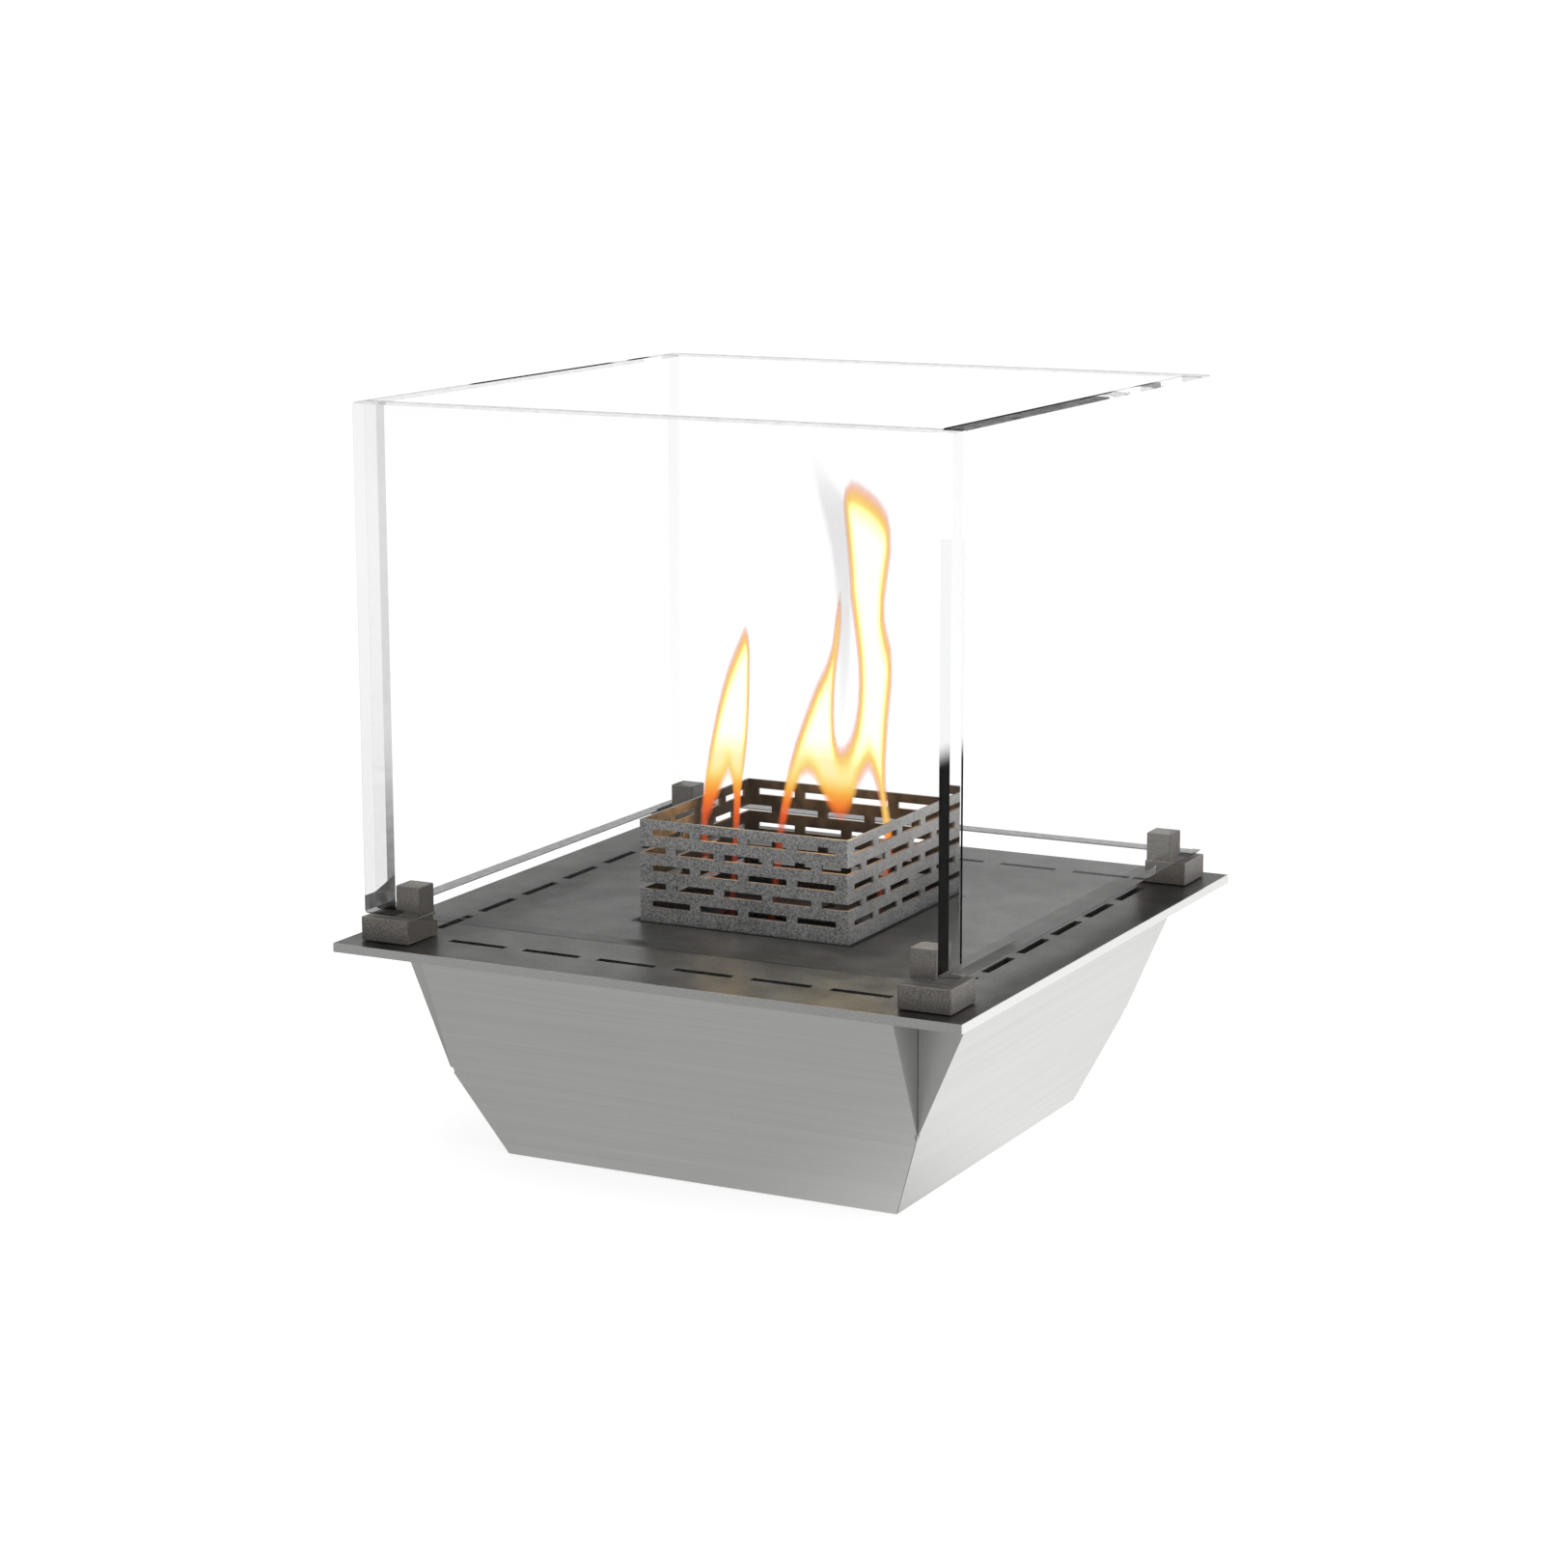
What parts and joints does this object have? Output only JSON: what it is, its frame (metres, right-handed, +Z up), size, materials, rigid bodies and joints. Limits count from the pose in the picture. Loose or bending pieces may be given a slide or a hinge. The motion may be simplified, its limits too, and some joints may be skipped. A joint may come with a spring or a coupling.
{
  "type": "built-in ethanol fireplace",
  "caption": "Square built-in ethanol fireplace: funnel-shaped folded casing under a vented plate, open-top glass enclosure on corner brackets, and a brick-cut surround round a lift-out burner.",
  "frame": {"origin": "middle of the casing's foot, on the surface it stands on", "axes": "+Z up, the glass on top; -Y is the front, the side nearest the camera in the picture; +X is to the right"},
  "size_m": [0.3, 0.3, 0.3368],
  "materials": {
    "casing_steel": "brushed level, satin",
    "plate_steel": "fine satin, soft reflections",
    "surround_steel": "fine grained satin, laser-cut edges",
    "burner_steel": "heat-darkened sheet",
    "fastener_steel": "zinc-plated",
    "bracket_steel": "dark satin coating",
    "clear_glass": "clear, polished edges",
    "ceramic_fibre": "fibrous wool blanket",
    "silicone": "clear matt"
  },
  "bodies": {
    "housing": {"top_plate": "plate_steel", "casing_floor": "casing_steel", "burner_cradle": "burner_steel", "casing_panel_front": "casing_steel", "casing_panel_right": "casing_steel", "casing_panel_back": "casing_steel", "casing_panel_left": "casing_steel", "corner_bracket_front_right": "bracket_steel", "corner_bracket_back_right": "bracket_steel", "corner_bracket_back_left": "bracket_steel", "corner_bracket_front_left": "bracket_steel", "bracket_screw_front_right_inner": "fastener_steel", "bracket_screw_front_right_outer": "fastener_steel", "bracket_screw_back_right_inner": "fastener_steel", "bracket_screw_back_right_outer": "fastener_steel", "bracket_screw_back_left_inner": "fastener_steel", "bracket_screw_back_left_outer": "fastener_steel", "bracket_screw_front_left_inner": "fastener_steel", "bracket_screw_front_left_outer": "fastener_steel", "casing_nut_front_left": "fastener_steel", "casing_nut_front_right": "fastener_steel", "casing_nut_right_left": "fastener_steel", "casing_nut_right_right": "fastener_steel", "casing_nut_back_left": "fastener_steel", "casing_nut_back_right": "fastener_steel", "casing_nut_left_left": "fastener_steel", "casing_nut_left_right": "fastener_steel", "cradle_nut_left_front": "fastener_steel", "cradle_nut_left_back": "fastener_steel", "cradle_nut_right_front": "fastener_steel", "cradle_nut_right_back": "fastener_steel", "glass_pad_front_right": "silicone", "glass_pad_back_right": "silicone", "glass_pad_back_left": "silicone", "glass_pad_front_left": "silicone", "rim_seal": "silicone"},
    "glass_enclosure": {"glass_pane_front": "clear_glass", "glass_pane_right": "clear_glass", "glass_pane_back": "clear_glass", "glass_pane_left": "clear_glass"},
    "burner": {"burner_tank": "burner_steel", "ceramic_wadding": "ceramic_fibre", "wadding_mesh": "burner_steel", "burner_cover": "burner_steel", "damper_guide_left": "burner_steel", "damper_guide_right": "burner_steel"},
    "surround": {"burner_surround": "surround_steel"},
    "damper": {"damper": "burner_steel", "damper_tab": "burner_steel"}
  },
  "joints": [
    {"name": "glass_lift", "type": "slide", "parent": "housing", "child": "glass_enclosure", "axis": [0, 0, 1], "range_m": [0, 0.24]},
    {"name": "burner_lift", "type": "slide", "parent": "housing", "child": "burner", "axis": [0, 0, 1], "range_m": [0, 0.065]},
    {"name": "surround_lift", "type": "slide", "parent": "burner", "child": "surround", "axis": [0, 0, 1], "range_m": [0, 0.06]},
    {"name": "damper_slide", "type": "slide", "parent": "burner", "child": "damper", "axis": [0, -1, 0], "range_m": [0, 0.026]}
  ]
}
